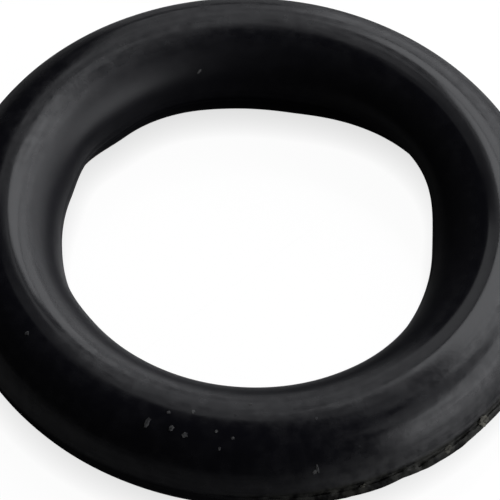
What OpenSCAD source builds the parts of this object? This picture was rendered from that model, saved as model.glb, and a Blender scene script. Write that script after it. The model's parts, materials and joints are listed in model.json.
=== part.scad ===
// O-ring: one moulded rubber ring with a round section, 10 mm inside by 3 mm section.
// The origin is the ring's centre on the mould's parting plane, and +Z is the ring's axis.

/* [Ring] */
// Inside diameter of the ring, taken on the round section
inside_d = 10; // [4:0.1:60]
// Diameter of the round section
section_d = 3; // [1:0.05:8]

/* [Moulding flash] */
// Height of the trimmed flash above the round section, inside and outside
flash_proud = 0.06; // [0.02:0.01:0.15]
// Thickness of the flash, which is the gap that the mould halves leave between them
flash_thick = 0.16; // [0.06:0.01:0.4]

/* [Hidden] */
// Radius at which the middle of the section runs round the axis
centreline_r = (inside_d + section_d) / 2;
// Radial reach of the section with its two ridges of flash
flash_span = section_d + 2 * flash_proud;
$fn = 180;

// The section as the mould leaves it: a true circle, with what is left of the flash as a thin
// flat-topped ridge at the parting plane, on the bore side and on the outside.
module ring_section() {
    circle(d = section_d);
    square([flash_span, flash_thick], center = true);
}

// The whole ring: its section turned once round the axis.
module o_ring() {
    color([0.05, 0.05, 0.055])
        rotate_extrude()
            translate([centreline_r, 0])
                ring_section();
}

o_ring();
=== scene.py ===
import json
import math

import bpy
import numpy as np
from mathutils import Matrix, Vector, noise


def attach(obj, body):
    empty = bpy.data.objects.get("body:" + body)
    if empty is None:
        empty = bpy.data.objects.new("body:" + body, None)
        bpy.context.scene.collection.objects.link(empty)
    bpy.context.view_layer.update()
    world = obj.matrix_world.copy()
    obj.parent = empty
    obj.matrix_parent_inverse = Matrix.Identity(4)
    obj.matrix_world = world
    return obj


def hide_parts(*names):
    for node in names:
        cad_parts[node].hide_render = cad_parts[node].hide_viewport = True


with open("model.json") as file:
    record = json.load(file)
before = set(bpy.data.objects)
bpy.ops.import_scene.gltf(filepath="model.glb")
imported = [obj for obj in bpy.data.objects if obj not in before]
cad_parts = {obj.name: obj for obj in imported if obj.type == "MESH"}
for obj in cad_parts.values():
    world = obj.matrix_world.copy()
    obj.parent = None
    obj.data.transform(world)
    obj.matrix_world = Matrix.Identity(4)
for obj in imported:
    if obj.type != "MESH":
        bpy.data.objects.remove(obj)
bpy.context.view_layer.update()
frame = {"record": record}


# Ring
# One ring of black nitrile rubber, pressed between two mould plates, with a round section.
# The section is drawn as a circle, with closer points at the parting plane, and spun round the axis.
# Lengths are in metres and angles in degrees.
MM = 0.001
mounts = {mount["name"]: mount["dims"] for mount in frame["record"]["mounts"]}
bore_r = mounts["bore"]["r_mm"] * MM
outside_r = mounts["outside"]["r_mm"] * MM
section_r = 1.5 * MM
centreline_r = (bore_r + outside_r) / 2
flash_proud = outside_r - centreline_r - section_r

# Points of the section, closer within reach of the parting plane, then slices of the ring and steps in each.
SECTION_POINTS = 96
CLOSE_REACH = 12
CLOSE_CUTS = 3
SLICES = 16
SLICE_STEPS = 40
JOIN_DISTANCE = 0.0005 * MM

bpy.ops.object.select_all(action="DESELECT")
bpy.ops.mesh.primitive_circle_add(
    vertices=SECTION_POINTS,
    radius=section_r,
    location=(centreline_r, 0, 0),
    rotation=(math.pi / 2, 0, 0),
)
ring = bpy.context.object
ring.name = "rubber_ring"
bpy.ops.object.transform_apply(location=True, rotation=True, scale=True)
bpy.ops.object.mode_set(mode="EDIT")
bpy.ops.mesh.select_mode(type="EDGE")
bpy.ops.mesh.select_all(action="DESELECT")
bpy.ops.object.mode_set(mode="OBJECT")
close_height = section_r * math.sin(math.radians(CLOSE_REACH))
for edge in ring.data.edges:
    edge.select = all(abs(ring.data.vertices[end].co.z) < close_height for end in edge.vertices)
bpy.ops.object.mode_set(mode="EDIT")
bpy.ops.mesh.subdivide(number_cuts=CLOSE_CUTS)
bpy.ops.mesh.select_all(action="SELECT")
bpy.ops.mesh.spin(steps=SLICE_STEPS, angle=2 * math.pi / SLICES, center=(0, 0, 0), axis=(0, 0, 1))
bpy.ops.mesh.select_all(action="SELECT")
bpy.ops.mesh.spin(steps=SLICES, angle=2 * math.pi, center=(0, 0, 0), axis=(0, 0, 1), dupli=True)
bpy.ops.mesh.select_all(action="SELECT")
bpy.ops.mesh.remove_doubles(threshold=JOIN_DISTANCE)
bpy.ops.mesh.normals_make_consistent(inside=False)
bpy.ops.object.mode_set(mode="OBJECT")


def corners(piece):
    """The piece's corners as an array, one row each."""
    flat = np.empty(len(piece.data.vertices) * 3)
    piece.data.vertices.foreach_get("co", flat)
    return flat.reshape(-1, 3)


def move_corners(piece, places):
    """Puts the piece's corners at new places, one row each."""
    piece.data.vertices.foreach_set("co", places.ravel())
    piece.data.update()


def ring_angle(places):
    """Degrees round the ring: 0 to the right, 90 at the back, -90 at the front."""
    return np.degrees(np.arctan2(places[:, 1], places[:, 0]))


def section_angle(places):
    """Degrees round the section: 0 outside, 90 on top, 180 in the bore, 270 underneath."""
    out = np.hypot(places[:, 0], places[:, 1]) - centreline_r
    return np.degrees(np.arctan2(places[:, 2], out)) % 360


def skin_point(around, across, height):
    """The point at a ring angle and a section angle, at a height from the middle of the section."""
    turn = np.radians(around)
    tilt = np.radians(across)
    level = centreline_r + height * np.cos(tilt)
    return np.stack([level * np.cos(turn), level * np.sin(turn), height * np.sin(tilt)], axis=-1)


def degrees_from(angles, middle):
    """How far each angle is from the middle one, the shorter way round."""
    return np.abs((angles - middle + 180) % 360 - 180)


def eased(angles, middle, flat, reach):
    """1 within flat degrees of the middle angle, easing to 0 at reach degrees from it."""
    fall = np.clip((degrees_from(angles, middle) - flat) / (reach - flat), 0, 1)
    return 1 - fall * fall * (3 - 2 * fall)


# The flash is trimmed to a low, worn ridge on both parting lines. The lower half of the bore wall isn't
# quite true: it bulges a little at the right and at the back, and is worn back between these and at the left.
# At the front right the outside swells towards the flash, which was never trimmed there.
OUTER_PARTING = 0
BORE_PARTING = 180
RIDGE_FLAT = 2
RIDGE_REACH = 9
RIDGE_WORN = 0.4
SWELL_MIDDLE = -50
SWELL_SPAN = 48
SWELL_ACROSS = 40
SWELL_HEIGHT = 0.10 * MM
PATCH_ACROSS = 64
# Ring angle, reach round the ring, section angle, and height, below zero where the wall is worn back.
BORE_PATCHES = (
    (-10, 45, 196, 0.18 * MM),
    (9, 20, 196, 0.045 * MM),
    (40.5, 41, 207, -0.40 * MM),
    (36, 32, 216, -0.08 * MM),
    (88, 26, 200, 0.075 * MM),
    (124, 26, 204, -0.09 * MM),
    (149.5, 17, 205, -0.18 * MM),
    (-157, 18, 176, -0.05 * MM),
)


def swell_at(around):
    """How far the outside swells at the outer parting line."""
    return SWELL_HEIGHT * eased(around, SWELL_MIDDLE, 0, SWELL_SPAN)


places = corners(ring)
around = ring_angle(places)
across = section_angle(places)
ridge = sum(eased(across, parting, RIDGE_FLAT, RIDGE_REACH) for parting in (OUTER_PARTING, BORE_PARTING))
fillet = np.clip(1 - degrees_from(across, OUTER_PARTING) / SWELL_ACROSS, 0, 1) ** 2
uneven_bore = sum(
    rise * eased(around, around_at, 0, reach) * eased(across, across_at, 0, PATCH_ACROSS)
    for around_at, reach, across_at, rise in BORE_PATCHES
)
height = section_r + RIDGE_WORN * flash_proud * ridge + swell_at(around) * fillet + uneven_bore
move_corners(ring, skin_point(around, across, height))


# Ring, torn flash
# At the front right a ragged length of the thin flash still hangs on the outside of the ring.
# It is drawn out of the ridge row by row, thinned, bent down and torn along its edge.

# Where the flash hangs, and the rows that it is drawn out in.
FIN_MIDDLE = -57.5
FIN_FULL = 14
FIN_REACH = 42
FIN_HALF_ANGLE = 2
FIN_ROWS = 8
FIN_ROW = 0.02 * MM
FIN_START = 0.01
# How wide it is, and how it droops, rolls, thins and turns lumpy towards its tip.
FIN_WIDTH = 0.18 * MM
FIN_DROOP = 0.13 * MM
FIN_DROOP_CURVE = 1.5
FIN_ROLL = 0.05 * MM
FIN_TIP_THICKNESS = 0.4
FIN_LUMPS = 0.06 * MM
FIN_TIP_LUMPS = 0.2
# A ragged crevice runs along it, at a share of its width, and one deep nick cuts into it.
CREVICE_AT = 0.24
CREVICE_DEPTH = 0.07 * MM
CREVICE_RAGGED = 1.6
CREVICE_WAVE = 1.8
CREVICE_LAYER = 5
NICK_MIDDLE = -56
NICK_REACH = 1.1
NICK_DROP = 0.16 * MM
# Ring angle, reach round the ring and share of the width where the flash tore off shorter.
TORN_SHORT = (
    (NICK_MIDDLE, NICK_REACH, 0.15),
    (-59.5, 4.5, 0.26),
    (-42, 7, 0.22),
)
# The uneven edge: share of the width, degrees to a wave, and row of the noise.
EDGE_WAVES = ((0.04, 5, 0), (0.05, 1.6, 7))
# The lumps: share of their height, degrees to a wave, waves across the width, and layer of the noise.
LUMP_WAVES = ((1, 1.3, 2, 3), (0.6, 3.5, 1, 9))
# The torn look takes in the flash, soon after it leaves the ridge, and its root. The swell is scuffed matt
# and carries a painted reflection.
TORN_GROWTH = 3
ROOT_FLAT = 2
ROOT_REACH = 8
# Where the swell is scuffed matt and painted lighter grey as a reflection of the table.
SCUFF_AND_SHEEN_FULL = 12
SCUFF_AND_SHEEN_REACH = 46
SCUFF_AND_SHEEN_ACROSS = 48


def hold(piece):
    """Selects one piece alone, for the operators that follow."""
    bpy.ops.object.select_all(action="DESELECT")
    piece.select_set(True)
    bpy.context.view_layer.objects.active = piece


def mark(piece, name, amounts):
    """Keeps an amount at each corner, for the material to read by name."""
    attribute = piece.data.attributes.new(name, "FLOAT", "POINT")
    attribute.data.foreach_set("value", amounts.astype(np.float32))


hold(ring)
bpy.ops.object.mode_set(mode="EDIT")
bpy.ops.mesh.select_mode(type="FACE")
bpy.ops.mesh.select_all(action="DESELECT")
bpy.ops.object.mode_set(mode="OBJECT")
centres = np.empty(len(ring.data.polygons) * 3)
ring.data.polygons.foreach_get("center", centres)
centres = centres.reshape(-1, 3)
on_ridge = eased(section_angle(centres), OUTER_PARTING, 0, FIN_HALF_ANGLE) > 0
in_length = eased(ring_angle(centres), FIN_MIDDLE, FIN_FULL, FIN_REACH) > 0
ring.data.polygons.foreach_set("select", on_ridge & in_length)
bpy.ops.object.mode_set(mode="EDIT")
for _ in range(FIN_ROWS):
    bpy.ops.mesh.extrude_region_shrink_fatten(TRANSFORM_OT_shrink_fatten={"value": FIN_ROW})
bpy.ops.object.mode_set(mode="OBJECT")

places = corners(ring)
around = ring_angle(places)
root_r = centreline_r + section_r + RIDGE_WORN * flash_proud
swell_out = swell_at(around)
drawn_out = np.hypot(places[:, 0], places[:, 1]) - root_r - swell_out
share = np.clip(drawn_out / (FIN_ROWS * FIN_ROW), 0, 1)
hanging = eased(around, FIN_MIDDLE, FIN_FULL, FIN_REACH)
nicked = eased(around, NICK_MIDDLE, 0, NICK_REACH)
torn_short = sum(part * eased(around, middle, 0, reach) for middle, reach, part in TORN_SHORT)
for corner in np.flatnonzero(share > FIN_START):
    angle = around[corner]
    out = share[corner]
    arch = math.sin(math.pi * out)
    edge = sum((part * noise.noise(Vector((angle / wave, row, 0))) for part, wave, row in EDGE_WAVES), 1)
    width = FIN_WIDTH * hanging[corner] * (edge - torn_short[corner])
    lump = sum(
        part * noise.noise(Vector((angle / wave, out * ripples, layer)))
        for part, wave, ripples, layer in LUMP_WAVES
    )
    rolled = (FIN_ROLL + FIN_LUMPS * lump) * arch + FIN_TIP_LUMPS * FIN_LUMPS * lump * out
    ragged = 1 + CREVICE_RAGGED * noise.noise(Vector((angle / CREVICE_WAVE, 0, CREVICE_LAYER)))
    crevice = CREVICE_DEPTH * ragged * max(0, 1 - abs(out - CREVICE_AT) / CREVICE_AT)
    drop = FIN_DROOP * out ** FIN_DROOP_CURVE + NICK_DROP * nicked[corner] * arch + crevice
    rise = places[corner, 2] * (1 - (1 - FIN_TIP_THICKNESS) * out) + hanging[corner] * (rolled - drop)
    level = root_r + swell_out[corner] + width * out
    turn = math.radians(angle)
    places[corner] = (level * math.cos(turn), level * math.sin(turn), rise)
move_corners(ring, places)
across = section_angle(places)
at_root = eased(across, OUTER_PARTING, ROOT_FLAT, ROOT_REACH)
mark(ring, "torn", hanging * np.maximum(np.clip(share * TORN_GROWTH, 0, 1), at_root))
scuffed_and_sheen_length = eased(around, SWELL_MIDDLE, SCUFF_AND_SHEEN_FULL, SCUFF_AND_SHEEN_REACH)
mark(ring, "scuffed_and_sheen", scuffed_and_sheen_length * eased(across, OUTER_PARTING, 0, SCUFF_AND_SHEEN_ACROSS))


# Ring, rubber finish
# Black rubber with the satin skin of the mould, faintly wavy and mottled, with fine streaks along the ring.
# Handling has rubbed the crest smooth at the right and the left, and the bore is duller.
# The underside's gloss is lowered, as painted shade that darkens its reflections.
# The swell at the front right is scuffed matt, with a painted reflection of the table in lighter mottled
# grey.
# Where the flash tore, the rubber is matt and a little olive.
SMOOTH_ANGLE = 50
WAVE_HEIGHT = 0.003 * MM
WAVE_LENGTH = 1.3 * MM
CREST_MIDDLE = 93
CREST_FLAT = 12
CREST_REACH = 26
# Ring angle of each rubbed length, with half its full part and half its whole.
RUBBED_LENGTHS = ((5, 36, 72), (-162, 14, 38))
places = corners(ring)
around = ring_angle(places)
across = section_angle(places)
turn = np.radians(around)
tilt = np.radians(across)
outward = np.stack([np.cos(tilt) * np.cos(turn), np.cos(tilt) * np.sin(turn), np.sin(tilt)], axis=1)
waves = np.array([noise.noise(Vector(place) / WAVE_LENGTH) for place in places])
move_corners(ring, places + outward * (WAVE_HEIGHT * waves)[:, None])
bpy.ops.object.shade_smooth_by_angle(angle=math.radians(SMOOTH_ANGLE))
rubbed_length = sum(eased(around, middle, flat, reach) for middle, flat, reach in RUBBED_LENGTHS)
mark(ring, "rubbed", rubbed_length * eased(across, CREST_MIDDLE, CREST_FLAT, CREST_REACH))


def new_material(name):
    """A material that is set by nodes."""
    material = bpy.data.materials.new(name)
    material.use_nodes = True
    return material


def feed(socket, source):
    """Gives a socket a plain value, or joins it to another node's output."""
    if isinstance(source, bpy.types.NodeSocket):
        socket.id_data.links.new(source, socket)
    else:
        socket.default_value = source


def add_node(tree, kind, sockets, **settings):
    """Adds a node with its settings, and feeds its sockets, each by name or number."""
    node = tree.nodes.new(kind)
    for name, setting in settings.items():
        setattr(node, name, setting)
    for name, source in sockets.items():
        feed(node.inputs[name], source)
    return node


def pattern(place, scale, detail):
    """Noise at a place, in features per metre, with levels of finer detail."""
    sockets = {"Vector": place, "Scale": scale, "Detail": detail}
    return add_node(place.id_data, "ShaderNodeTexNoise", sockets).outputs["Fac"]


def spread(source, span, results):
    """Eases from the first result to the second as the source runs through its span."""
    sockets = {
        "Value": source,
        "From Min": span[0],
        "From Max": span[1],
        "To Min": results[0],
        "To Max": results[1],
    }
    node = add_node(source.id_data, "ShaderNodeMapRange", sockets, interpolation_type="SMOOTHSTEP")
    return node.outputs["Result"]


def product(first, second):
    """Multiplies an output by another or by a plain number."""
    node = add_node(first.id_data, "ShaderNodeMath", {0: first, 1: second}, operation="MULTIPLY")
    return node.outputs["Value"]


def blend(kind, factor, first, second):
    """Mixes two Float or two Color sides by a factor; each side is an output or a plain value."""
    data_type = {"Float": "FLOAT", "Color": "RGBA"}[kind]
    node = add_node(factor.id_data, "ShaderNodeMix", {"Factor": factor}, data_type=data_type)
    sides = {socket.identifier: socket for socket in node.inputs}
    feed(sides["A_" + kind], first)
    feed(sides["B_" + kind], second)
    return next(socket for socket in node.outputs if socket.identifier == "Result_" + kind)


def relief(height, depth, strength):
    """A bump of the skin, by a height pattern."""
    sockets = {"Height": height, "Distance": depth, "Strength": strength}
    return add_node(height.id_data, "ShaderNodeBump", sockets)


BLACK = (0.0026, 0.0026, 0.0039, 1)
BLOOM = (0.0040, 0.0040, 0.0054, 1)
# The lighter grey of the front right swell is a painted reflection of the lit table.
PAINTED_SHEEN_GREY = (0.030, 0.030, 0.031, 1)
TORN_DARK = (0.0012, 0.0012, 0.0012, 1)
TORN_OLIVE = (0.0192, 0.0192, 0.0170, 1)
# Features per metre and levels of finer detail of each pattern.
MOTTLE = (2600, 4)
PAINTED_SHEEN_MOTTLE = (3000, 4)
TORN_MOTTLE = (2600, 3)
# The part of each pattern's noise that a look runs through.
BLOOM_SPAN = (0.42, 0.68)
PAINTED_SHEEN_SPAN = (0.35, 0.65)
TORN_SPAN = (0.38, 0.56)
PAINTED_SHEEN_SHARE = (0.35, 1)

rubber = new_material("black_rubber")
skin = rubber.node_tree.nodes["Principled BSDF"]
place = add_node(rubber.node_tree, "ShaderNodeTexCoord", {}).outputs["Object"]
torn, scuffed_and_sheen, rubbed = [
    add_node(rubber.node_tree, "ShaderNodeAttribute", {}, attribute_name=name).outputs["Fac"]
    for name in ("torn", "scuffed_and_sheen", "rubbed")
]
mottle = pattern(place, *MOTTLE)
bloomed = blend("Color", spread(mottle, BLOOM_SPAN, (0, 1)), BLACK, BLOOM)
# The swell's painted reflection: a mottled share of lighter grey laid over the black.
painted_sheen_share = product(scuffed_and_sheen, spread(pattern(place, *PAINTED_SHEEN_MOTTLE), PAINTED_SHEEN_SPAN, PAINTED_SHEEN_SHARE))
torn_tint = blend("Color", spread(pattern(place, *TORN_MOTTLE), TORN_SPAN, (0, 1)), TORN_DARK, TORN_OLIVE)
colour = blend("Color", torn, blend("Color", painted_sheen_share, bloomed, PAINTED_SHEEN_GREY), torn_tint)
feed(skin.inputs["Base Color"], colour)

# The streaks are noise that is drawn out round the axis and fine across the section.
STREAK_TURNS = 3.2
STREAK_FINENESS = 8000
STREAK_DETAIL = 3
split = add_node(rubber.node_tree, "ShaderNodeSeparateXYZ", {"Vector": place})
up = split.outputs["Z"]
level_sockets = {"X": split.outputs["X"], "Y": split.outputs["Y"]}
level_place = add_node(rubber.node_tree, "ShaderNodeCombineXYZ", level_sockets).outputs["Vector"]


def vector_step(operation, sockets):
    """One step of vector arithmetic in the rubber's material."""
    return add_node(rubber.node_tree, "ShaderNodeVectorMath", sockets, operation=operation)


from_axis = vector_step("LENGTH", {0: level_place}).outputs["Value"]
bearing = vector_step("NORMALIZE", {0: level_place}).outputs["Vector"]
round_axis = vector_step("SCALE", {0: bearing, "Scale": STREAK_TURNS}).outputs["Vector"]
out_fine = add_node(rubber.node_tree, "ShaderNodeCombineXYZ", {"Z": product(from_axis, STREAK_FINENESS)})
streak_sockets = {
    "Vector": vector_step("ADD", {0: round_axis, 1: out_fine.outputs["Vector"]}).outputs["Vector"],
    "W": product(up, STREAK_FINENESS),
    "Scale": 1,
    "Detail": STREAK_DETAIL,
}
streak_noise = add_node(rubber.node_tree, "ShaderNodeTexNoise", streak_sockets, noise_dimensions="4D")
streaks = streak_noise.outputs["Fac"]

# The gloss falls off edge on and is uneven, apart from the rubbed crest.
# The bore and the torn rubber are dull. The underside's gloss is lowered as painted shade.
FACING_SPAN = (0.15, 0.95)
FACING_GLOSS = (0.208, 0)
GLOSS_PATCHES = (900, 2)
GLOSS_SPECKS = (3400, 5)
GLOSS_SPAN = (0.32, 0.68)
GLOSS_UNEVEN = (0.78, 1.22)
# The bore's skin by distance from the axis, then its wall and the underside by height.
BORE_SIDE = (centreline_r - 1.1 * MM, centreline_r - 0.3 * MM)
BORE_WALL = (0.1 * MM, 0.9 * MM)
BORE_GLOSS = (0.09, 0.19)
UNDERSIDE = (-0.08 * MM, 0.14 * MM)
UNDERSIDE_SHADE_GLOSS = (0.14, 1)
TORN_GLOSS = 0.08
edge_on = add_node(rubber.node_tree, "ShaderNodeLayerWeight", {}).outputs["Facing"]
patchy = blend("Float", pattern(place, *GLOSS_PATCHES), streaks, pattern(place, *GLOSS_SPECKS))
evenness = blend("Float", rubbed, spread(patchy, GLOSS_SPAN, GLOSS_UNEVEN), 1)
outer_gloss = product(spread(edge_on, FACING_SPAN, FACING_GLOSS), evenness)
bore_side = spread(from_axis, BORE_SIDE, (1, 0))
upper_gloss = blend("Float", bore_side, outer_gloss, spread(up, BORE_WALL, BORE_GLOSS))
# Below the parting plane the gloss is cut back, as painted shade on the underside.
gloss = product(upper_gloss, spread(up, UNDERSIDE, UNDERSIDE_SHADE_GLOSS))
feed(skin.inputs["Specular IOR Level"], blend("Float", torn, gloss, TORN_GLOSS))

# The skin has fine streaks and grain, fainter on the rubbed crest, and a coarse grit where it tore.
GRAIN = (9000, 3)
TORN_GRIT = (3200, 4)
SKIN_DEPTH = 0.003 * MM
TORN_DEPTH = 0.05 * MM
RUBBED_SPAN = (0, 1)
RELIEF_STRENGTH = (0.5, 0.12)
relief_left = spread(rubbed, RUBBED_SPAN, RELIEF_STRENGTH)
streak_relief = relief(streaks, SKIN_DEPTH, relief_left)
grain_relief = relief(pattern(place, *GRAIN), SKIN_DEPTH, relief_left)
torn_relief = relief(pattern(place, *TORN_GRIT), TORN_DEPTH, torn)
feed(grain_relief.inputs["Normal"], streak_relief.outputs["Normal"])
feed(torn_relief.inputs["Normal"], grain_relief.outputs["Normal"])
feed(skin.inputs["Normal"], torn_relief.outputs["Normal"])

# The satin skin is a little rougher here and there, smooth on the rubbed crest and matt where it is worn.
SATIN_SPAN = (0.3, 0.7)
SATIN_ROUGHNESS = (0.17, 0.28)
RUBBED_ROUGHNESS = 0.125
BORE_ROUGHNESS = 0.42
SCUFF_ROUGHNESS = 0.46
TORN_ROUGHNESS = 0.5
roughness = spread(mottle, SATIN_SPAN, SATIN_ROUGHNESS)
for zone, zone_roughness in (
    (rubbed, RUBBED_ROUGHNESS),
    (bore_side, BORE_ROUGHNESS),
    (scuffed_and_sheen, SCUFF_ROUGHNESS),
    (torn, TORN_ROUGHNESS),
):
    roughness = blend("Float", zone, roughness, zone_roughness)
feed(skin.inputs["Roughness"], roughness)
ring.data.materials.append(rubber)
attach(ring, "root")
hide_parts("o_ring")


# Dust
# Pale grains of dust and a few shreds of lint lie on the front of the ring, held by the tacky rubber.
# One rough grain is modelled, then copied, flattened, turned and pressed into the skin at each place.
GRAIN_RADIUS = 0.5
GRAIN_SUBDIVISIONS = 3
GRAIN_LUMPS = 3.4
GRAIN_ROUGHNESS = 0.9
GRAIN_FLATNESS = 0.5
GRAIN_SUNK = 0.35
FACET_ANGLE = 40
# Ring angle, section angle, length, width, and the turn of the length from the ring's own direction.
DUST = (
    (-109, 63, 0.26 * MM, 0.09 * MM, 80),
    (-104, 64, 0.15 * MM, 0.09 * MM, 60),
    (-101, 60.5, 0.14 * MM, 0.10 * MM, 20),
    (-100.5, 85, 0.10 * MM, 0.07 * MM, 40),
    (-105.5, 78, 0.09 * MM, 0.06 * MM, 0),
    (-142, 69.5, 0.11 * MM, 0.08 * MM, 30),
    (-94, 53, 0.09 * MM, 0.05 * MM, 75),
    (-91.5, 64, 0.08 * MM, 0.05 * MM, 10),
    (-95, 69, 0.08 * MM, 0.05 * MM, 50),
    (-88, 101.5, 0.08 * MM, 0.05 * MM, 0),
    (-74, 79, 0.08 * MM, 0.05 * MM, 30),
    (-76, 27, 0.10 * MM, 0.08 * MM, 0),
    (-75.5, 31, 0.24 * MM, 0.05 * MM, 95),
    (108, 145.5, 0.16 * MM, 0.05 * MM, 35),
)
DUST_DULL = (0.02, 0.02, 0.022, 1)
DUST_PALE = (0.06, 0.06, 0.06, 1)
POWDER_PATTERN = (3300, 2)
POWDER_SPAN = (0.35, 0.65)
POWDER_ROUGHNESS = 0.9
POWDER_GLOSS = 0.2
bpy.ops.object.select_all(action="DESELECT")
bpy.ops.mesh.primitive_ico_sphere_add(subdivisions=GRAIN_SUBDIVISIONS, radius=GRAIN_RADIUS)
grain_shape = bpy.context.object
grain_shape.name = "grain"
places = corners(grain_shape)
bumps = np.array([noise.noise(Vector(spot) * GRAIN_LUMPS) for spot in places])
move_corners(grain_shape, places * (1 + GRAIN_ROUGHNESS * bumps)[:, None])


def press_in(origin, towards, length, width, turn):
    """Copies the grain onto the ring where a line from the origin meets it."""
    spot, normal = ring.ray_cast(Vector(origin), Vector(towards))[1:3]
    hold(grain_shape)
    bpy.ops.object.duplicate()
    copy = bpy.context.object
    along = Vector((-spot.y, spot.x, 0)).normalized()
    along = Matrix.Rotation(math.radians(turn), 3, normal) @ along
    side = normal.cross(along)
    height = width * GRAIN_FLATNESS
    seat = spot + normal * height * (GRAIN_RADIUS - GRAIN_SUNK)
    columns = Matrix((along * length, side * width, normal * height)).transposed()
    copy.matrix_world = Matrix.Translation(seat) @ columns.to_4x4()
    bpy.ops.object.transform_apply(location=True, rotation=True, scale=True)
    return copy


def gather(pieces, name):
    """Joins pieces into one, with flat facets left sharp and its normals outwards."""
    hold(pieces[0])
    for piece in pieces:
        piece.select_set(True)
    bpy.ops.object.join()
    joined = bpy.context.object
    joined.name = name
    bpy.ops.object.mode_set(mode="EDIT")
    bpy.ops.mesh.select_all(action="SELECT")
    bpy.ops.mesh.normals_make_consistent(inside=False)
    bpy.ops.object.mode_set(mode="OBJECT")
    bpy.ops.object.shade_smooth_by_angle(angle=math.radians(FACET_ANGLE))
    return joined


def powder(name, dull, pale):
    """A matt material that wanders between two colours from grain to grain."""
    material = new_material(name)
    place = add_node(material.node_tree, "ShaderNodeTexCoord", {}).outputs["Object"]
    wander = pattern(place, *POWDER_PATTERN)
    ramp = add_node(material.node_tree, "ShaderNodeValToRGB", {"Fac": wander})
    for stop, position, tint in zip(ramp.color_ramp.elements, POWDER_SPAN, (dull, pale)):
        stop.position = position
        stop.color = tint
    face = material.node_tree.nodes["Principled BSDF"]
    feed(face.inputs["Base Color"], ramp.outputs["Color"])
    feed(face.inputs["Roughness"], POWDER_ROUGHNESS)
    feed(face.inputs["Specular IOR Level"], POWDER_GLOSS)
    return material


grains = []
for around_at, across_at, length, width, turn in DUST:
    start = skin_point(around_at, across_at, 2 * section_r)
    inwards = skin_point(around_at, across_at, 0) - start
    grains.append(press_in(start, inwards / np.linalg.norm(inwards), length, width, turn))
dust = gather(grains, "dust_specks")
dust.data.materials.append(powder("pale_dust", DUST_DULL, DUST_PALE))
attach(dust, "root")


# Torn crumbs
# Crumbs of torn rubber, gone pale, cling to the top of the hanging flash.
# They are copies of the same rough grain, dropped straight down onto the flash.
CRUMB_DULL = (0.034, 0.033, 0.029, 1)
CRUMB_PALE = (0.078, 0.075, 0.062, 1)
# Ring angle, distance out from the ridge, length, width, and turn from the ring's own direction.
CRUMBS = (
    (-41, 0.16 * MM, 0.31 * MM, 0.19 * MM, 5),
    (-50, 0.19 * MM, 0.25 * MM, 0.12 * MM, 12),
    (-67.3, 0.12 * MM, 0.17 * MM, 0.12 * MM, 40),
)
crumbs = []
for around_at, out, length, width, turn in CRUMBS:
    turned = math.radians(around_at)
    level = root_r + out
    start = (level * math.cos(turned), level * math.sin(turned), section_r)
    crumbs.append(press_in(start, (0, 0, -1), length, width, turn))
crumb_pile = gather(crumbs, "torn_crumbs")
crumb_pile.data.materials.append(powder("pale_rubber", CRUMB_DULL, CRUMB_PALE))
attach(crumb_pile, "root")
bpy.data.objects.remove(grain_shape)


# Floor
# A plain white table top of glossy board, which the ring lies on, touching it along one circle.
# The camera sees it white, with the ring's shadow and a soft painted shade where the ring is near.
# The light that it throws back onto the ring is as from grey board.
FLOOR_SIZE = 4.0
BOARD_GREY = (0.24, 0.24, 0.24, 1)
BOARD_ROUGHNESS = 0.2
BOARD_GLOSS = 0.9
NEAR_SAMPLES = 16
NEAR_DISTANCE = 0.8 * MM
NEAR_PAINTED_SHADE = 0.78
OPEN_WHITE = 1.1
CAMERA_SHARE = 0.88
MIRRORED_SHARE = 0.015
bpy.ops.object.select_all(action="DESELECT")
bpy.ops.mesh.primitive_plane_add(size=FLOOR_SIZE, location=(0, 0, -section_r))
floor = bpy.context.object
floor.name = "table_top"
white = new_material("white_table")
tree = white.node_tree
tree.nodes.clear()
board_sockets = {
    "Base Color": BOARD_GREY,
    "Roughness": BOARD_ROUGHNESS,
    "Specular IOR Level": BOARD_GLOSS,
}
board = add_node(tree, "ShaderNodeBsdfPrincipled", board_sockets)
# The shade near the ring is painted: the white is dimmed by how much of the ring lies close to each spot.
near = add_node(tree, "ShaderNodeAmbientOcclusion", {"Distance": NEAR_DISTANCE}, samples=NEAR_SAMPLES)
painted_shade_sockets = {"Value": near.outputs["AO"], "To Min": NEAR_PAINTED_SHADE, "To Max": OPEN_WHITE}
painted_shade = add_node(tree, "ShaderNodeMapRange", painted_shade_sockets)
bright = add_node(tree, "ShaderNodeEmission", {"Strength": painted_shade.outputs["Result"]})
path = add_node(tree, "ShaderNodeLightPath", {}).outputs
mirror_sockets = {0: path["Is Glossy Ray"], 1: path["Is Transmission Ray"]}
mirrored = add_node(tree, "ShaderNodeMath", mirror_sockets, operation="MAXIMUM").outputs["Value"]
seen_sockets = {0: path["Is Camera Ray"], 1: CAMERA_SHARE, 2: product(mirrored, MIRRORED_SHARE)}
seen_white = add_node(tree, "ShaderNodeMath", seen_sockets, operation="MULTIPLY_ADD").outputs["Value"]
mix_sockets = {0: seen_white, 1: board.outputs["BSDF"], 2: bright.outputs["Emission"]}
mix = add_node(tree, "ShaderNodeMixShader", mix_sockets)
add_node(tree, "ShaderNodeOutputMaterial", {"Surface": mix.outputs["Shader"]})
floor.data.materials.append(white)


# Studio light
# Two stacked softboxes behind the ring at the right give the broad sheen, with two panels and a card to
# their left and a low card below them. Two cards stand at the right, and a dim strip hangs overhead.
# The room adds a faint, even light.
LAMP_DISTANCE = 1.0
DAYLIGHT = (0.98, 0.99, 1.02)
ROOM_WHITE = (1, 1, 1, 1)
ROOM_LIGHT = 0.04
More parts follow.
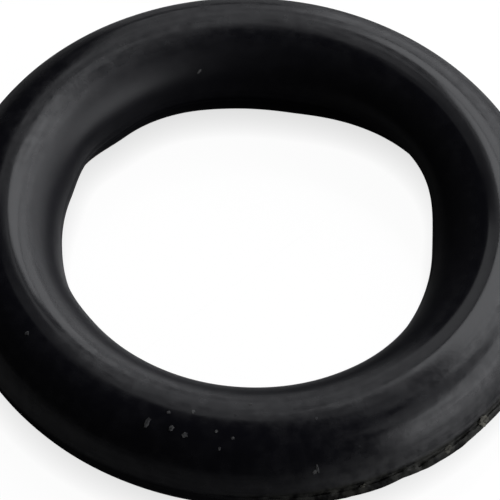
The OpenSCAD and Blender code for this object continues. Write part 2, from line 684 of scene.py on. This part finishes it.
# Name, azimuth, elevation, width, height and turn, as seen from the ring, and radiance.
LAMPS = (
    ("main_softbox", 44.5, 52.5, 46, 19, 6, 5.05),
    ("lower_softbox", 43, 33.5, 60, 18, 4, 4.3),
    ("left_panel", -6.5, 40, 17, 24, -12, 1.6),
    ("upper_left_panel", -15, 62.5, 18, 15, 0, 0.42),
    ("low_left_card", -4.5, 16.5, 20, 23, 0, 1.15),
    ("back_card", 37, 11, 64, 23, 0, 2.3),
    ("right_card", 104, 16, 50, 31, 0, 4.4),
    ("upper_right_card", 102, 43.5, 42, 20, 0, 1.2),
    ("ceiling_strip", 45, 72, 48, 11, 0, 1.0),
)


def softbox(name, azimuth, elevation, width, height, turn, radiance):
    """A flat lamp aimed at the ring. Azimuth 0 is straight behind the ring and 90 to its right."""
    light = bpy.data.lights.new(name, "AREA")
    light.shape = "RECTANGLE"
    light.size = 2 * LAMP_DISTANCE * math.tan(math.radians(width / 2))
    light.size_y = 2 * LAMP_DISTANCE * math.tan(math.radians(height / 2))
    light.energy = math.pi * light.size * light.size_y * radiance
    light.color = DAYLIGHT
    lamp = bpy.data.objects.new(name, light)
    bpy.context.scene.collection.objects.link(lamp)
    level = LAMP_DISTANCE * math.cos(math.radians(elevation))
    lamp.location = (
        level * math.sin(math.radians(azimuth)),
        level * math.cos(math.radians(azimuth)),
        LAMP_DISTANCE * math.sin(math.radians(elevation)),
    )
    aim = (-lamp.location).to_track_quat("-Z", "Y")
    lamp.rotation_euler = (aim.to_matrix() @ Matrix.Rotation(math.radians(turn), 3, "Z")).to_euler()


for lamp_row in LAMPS:
    softbox(*lamp_row)
world = bpy.data.worlds.new("room")
bpy.context.scene.world = world
world.use_nodes = True
room = world.node_tree.nodes["Background"]
feed(room.inputs["Color"], ROOM_WHITE)
feed(room.inputs["Strength"], ROOM_LIGHT)
bpy.context.scene.view_settings.view_transform = "Standard"


# Camera
# A long lens from the front, a little over 50 degrees up, close enough that both ends leave the frame.
# It is rolled by nearly 3 degrees, and aimed a little in front of the ring's middle.
CAMERA_ELEVATION = 53.15
CAMERA_DISTANCE = 90.6 * MM
CAMERA_ROLL = 2.85
AIM_BELOW = 0.149
LENS_MM = 246.6
SENSOR_MM = 36
NEAR_CLIP = 1 * MM
camera_data = bpy.data.cameras.new("camera")
camera_data.lens = LENS_MM
camera_data.sensor_width = SENSOR_MM
camera_data.clip_start = NEAR_CLIP
camera = bpy.data.objects.new("camera", camera_data)
bpy.context.scene.collection.objects.link(camera)
camera.location = (
    0,
    -CAMERA_DISTANCE * math.cos(math.radians(CAMERA_ELEVATION)),
    CAMERA_DISTANCE * math.sin(math.radians(CAMERA_ELEVATION)),
)
pitch = Matrix.Rotation(math.radians(90 - CAMERA_ELEVATION - AIM_BELOW), 3, "X")
roll = Matrix.Rotation(math.radians(CAMERA_ROLL), 3, "Z")
camera.rotation_euler = (pitch @ roll).to_euler()
bpy.context.scene.camera = camera
